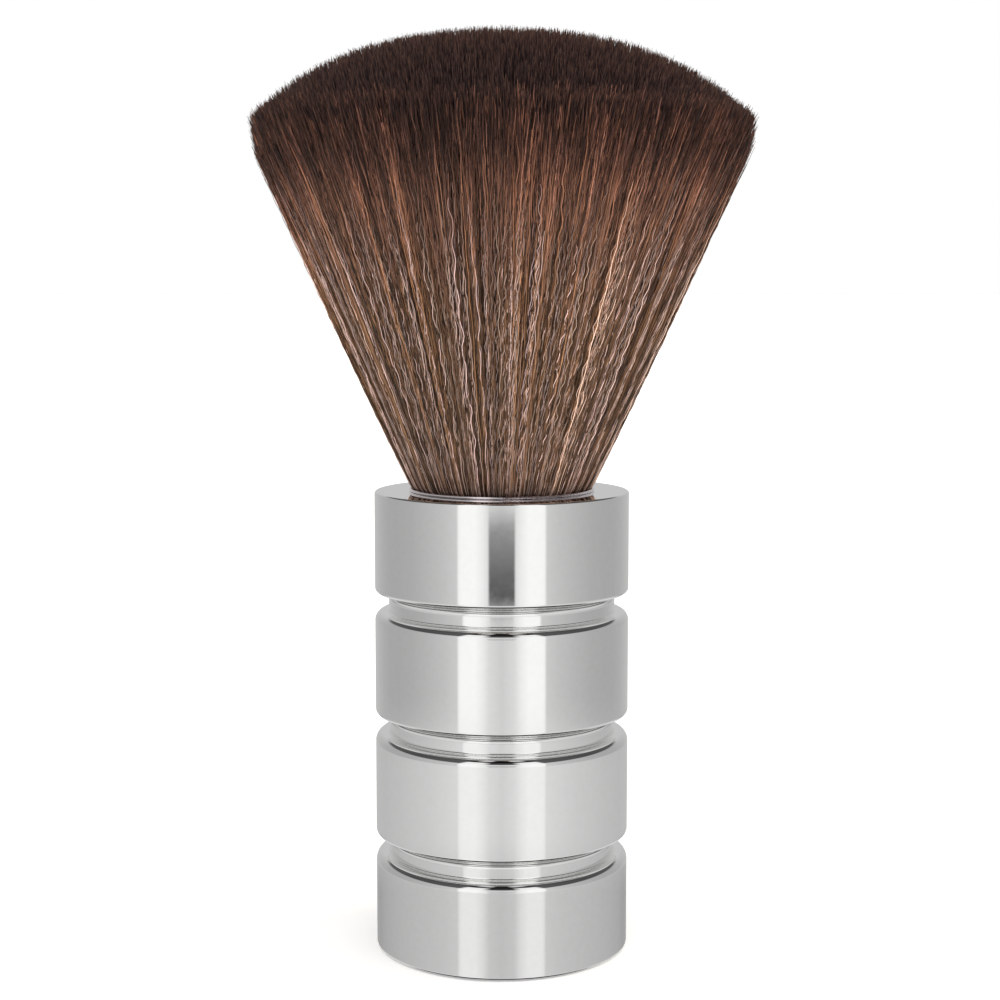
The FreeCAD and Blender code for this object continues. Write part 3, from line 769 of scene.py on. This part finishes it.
def make_floor():
    """Plain pale floor, which glows a little so that it stays white."""
    mesh = bpy.data.meshes.new("floor")
    reach = FLOOR_REACH
    mesh.from_pydata([(-reach, -reach, 0), (reach, -reach, 0), (reach, reach, 0), (-reach, reach, 0)],
                     [], [(0, 1, 2, 3)])
    floor = bpy.data.objects.new("floor", mesh)
    bpy.context.scene.collection.objects.link(floor)
    material, nodes, shader = new_material("pale_floor")
    where = nodes.add("ShaderNodeTexCoord").outputs["Object"]
    noise = nodes.add("ShaderNodeTexNoise", Vector=where, Scale=60.0, Detail=3.0)
    nodes.feed(shader.inputs["Base Color"], nodes.ramp(
        noise.outputs[0], [(0.3, srgb(247, 247, 247)), (0.7, srgb(251, 251, 251))]))
    set_inputs(shader, Roughness=0.9, Specular_IOR_Level=0.1, Emission_Strength=FLOOR_GLOW)
    mesh.materials.append(material)
    floor.visible_glossy = False  # the mirror finish shows the studio's lights, as over a clear table


SOFT_LIGHT_LEVEL = 226
WHITE_LIGHT = (1, 1, 1)
WARM_LIGHT = (1, 0.90, 0.70)


def make_world():
    """Studio as the plating sees it, an even soft light for everything else, and white beyond."""
    world = bpy.data.worlds.new("studio")
    bpy.context.scene.world = world
    world.use_nodes = True
    world.node_tree.nodes.clear()
    nodes = Nodes(world.node_tree)
    direction = nodes.add("ShaderNodeTexCoord").outputs["Generated"]
    split = nodes.add("ShaderNodeSeparateXYZ", Vector=direction)
    turn = nodes.math("ARCTAN2", split.outputs[0], nodes.math("MULTIPLY", split.outputs[1], -1))
    # both in turns of 180 degrees: how far round from the front, and how far up from straight down
    side = nodes.math("DIVIDE", nodes.math("ABSOLUTE", turn), math.pi)
    rise = nodes.math("ADD", nodes.math("DIVIDE", nodes.math("ARCSINE", split.outputs[2]), math.pi), 0.5)

    def across(*stops):
        """Grey levels by degrees round from the front."""
        return nodes.ramp(side, [(degrees / 180, grey(level)) for degrees, level in stops])

    def upward(*stops):
        """Grey levels by degrees above the horizon."""
        return nodes.ramp(rise, [((degrees + 90) / 180, grey(level)) for degrees, level in stops])

    # walls round the brush, as its top, middle and bottom bands mirror them
    walls_high = across((0, 209), (11, 222), (17, 242), (24, 254), (36, 253), (38.5, 248),
                        (40.5, 206), (53, 195), (70, 184), (88, 174), (106, 170), (120, 170),
                        (134, 176), (150, 186), (170, 196))
    walls_middle = across((0, 212), (11, 221), (17, 234), (24, 244), (36, 243), (38.5, 240),
                          (40.5, 220), (53, 214), (70, 206), (88, 200), (106, 194), (134, 188),
                          (170, 190))
    walls_low = across((0, 194), (11, 200), (17, 222), (24, 235), (36, 235), (38.5, 228),
                       (40.5, 204), (53, 197), (70, 192), (88, 187), (106, 182), (134, 172),
                       (150, 162), (170, 170))
    walls = nodes.mix(upward((-13.6, 0), (-12.4, 255)), walls_middle, walls_high)
    walls = nodes.mix(upward((-17.4, 0), (-16.2, 255)), walls_low, walls)
    # dark ceiling with lamps at the front, as the tops of the bands mirror it
    ceiling = across((0, 60), (11, 60), (19, 240), (36, 246), (41, 86), (100, 74), (150, 90))
    ceiling_bars = upward((46, 255), (49, 255), (51, 20), (64, 20), (66, 235), (76, 235), (79, 10),
                          (88, 10))
    ceiling = nodes.mix(across((0, 255), (40, 255), (42, 0)), ceiling,
                        nodes.mix(1.0, ceiling, ceiling_bars, "MULTIPLY"))
    # thin dark ledge at the front, just above the horizon
    ledge = upward((3.0, 0), (3.5, 255), (8.0, 255), (8.5, 0))
    room = nodes.mix(nodes.mix(1.0, ledge, across((12, 255), (14, 0)), "MULTIPLY"), walls, grey(150))
    room = nodes.mix(upward((23, 0), (28, 255)), room, ceiling)
    # bright floor, which turns dark nearer to the brush
    floor_glow = across((0, 224), (11, 228), (17, 252), (36, 252), (41, 226), (90, 206), (130, 214),
                        (170, 232))
    below = upward((-90, 96), (-78, 80), (-75, 24), (-50, 24), (-46, 255))
    below = nodes.mix(1.0, below, floor_glow, "MULTIPLY")
    room = nodes.mix(upward((-28, 255), (-20, 0)), room, below)
    # dark screen at the front, as the middle of the top band mirrors it
    screen = upward((-9.2, 84), (-8.6, 96), (-7.4, 140), (-6.5, 160))
    screen_up = upward((-9.3, 0), (-9.15, 255), (-6.6, 255), (-6.45, 0))
    screen_across = across((10.5, 255), (12.5, 0))
    room = nodes.mix(nodes.mix(1.0, screen_up, screen_across, "MULTIPLY"), room, screen)
    # what the plating mirrors, what lights the other surfaces, and what the camera sees behind
    path = nodes.add("ShaderNodeLightPath")
    light = nodes.mix(path.outputs["Is Diffuse Ray"], room, grey(SOFT_LIGHT_LEVEL))
    light = nodes.mix(path.outputs["Is Camera Ray"], light, (1, 1, 1, 1))
    background = nodes.add("ShaderNodeBackground", Color=light, Strength=1.0)
    output = nodes.add("ShaderNodeOutputWorld")
    nodes.feed(output.inputs[0], background.outputs[0])


def add_sun(name, azimuth, height, strength, softness, colour):
    """Soft light from far off: azimuth is degrees round from the front, towards the right."""
    data = bpy.data.lights.new(name, "SUN")
    data.energy = strength
    data.color = colour
    data.angle = math.radians(softness)
    light = bpy.data.objects.new(name, data)
    bpy.context.scene.collection.objects.link(light)
    light.rotation_euler = (math.radians(90 - height), 0, math.radians(azimuth))
    light.visible_glossy = False


def make_lights():
    add_sun("top_front_light", azimuth=10, height=62, strength=0.75, softness=60, colour=WHITE_LIGHT)
    add_sun("left_light", azimuth=-100, height=18, strength=0.95, softness=40, colour=WARM_LIGHT)
    add_sun("right_light", azimuth=95, height=18, strength=1.8, softness=40, colour=WARM_LIGHT)


CAMERA_DISTANCE = 333.1 * MM
CAMERA_HEIGHT = 114.4 * MM
CAMERA_DOWN = math.radians(6.19)
CAMERA_LENS = 69.66
CAMERA_SENSOR = 36
CAMERA_SIDE = -0.3 * MM
NEAREST_VISIBLE = 0.01
FARTHEST_VISIBLE = 200


def make_camera():
    data = bpy.data.cameras.new("camera")
    data.lens = CAMERA_LENS
    data.sensor_width = CAMERA_SENSOR
    data.clip_start = NEAREST_VISIBLE
    data.clip_end = FARTHEST_VISIBLE
    camera = bpy.data.objects.new("camera", data)
    bpy.context.scene.collection.objects.link(camera)
    camera.location = (CAMERA_SIDE, -CAMERA_DISTANCE, CAMERA_HEIGHT)
    camera.rotation_euler = (math.pi / 2 - CAMERA_DOWN, 0, 0)
    bpy.context.scene.camera = camera


def main():
    bpy.context.scene.view_settings.view_transform = "Standard"
    make_head()
    make_handle()
    dress_solids()
    make_floor()
    make_world()
    make_lights()
    make_camera()


main()
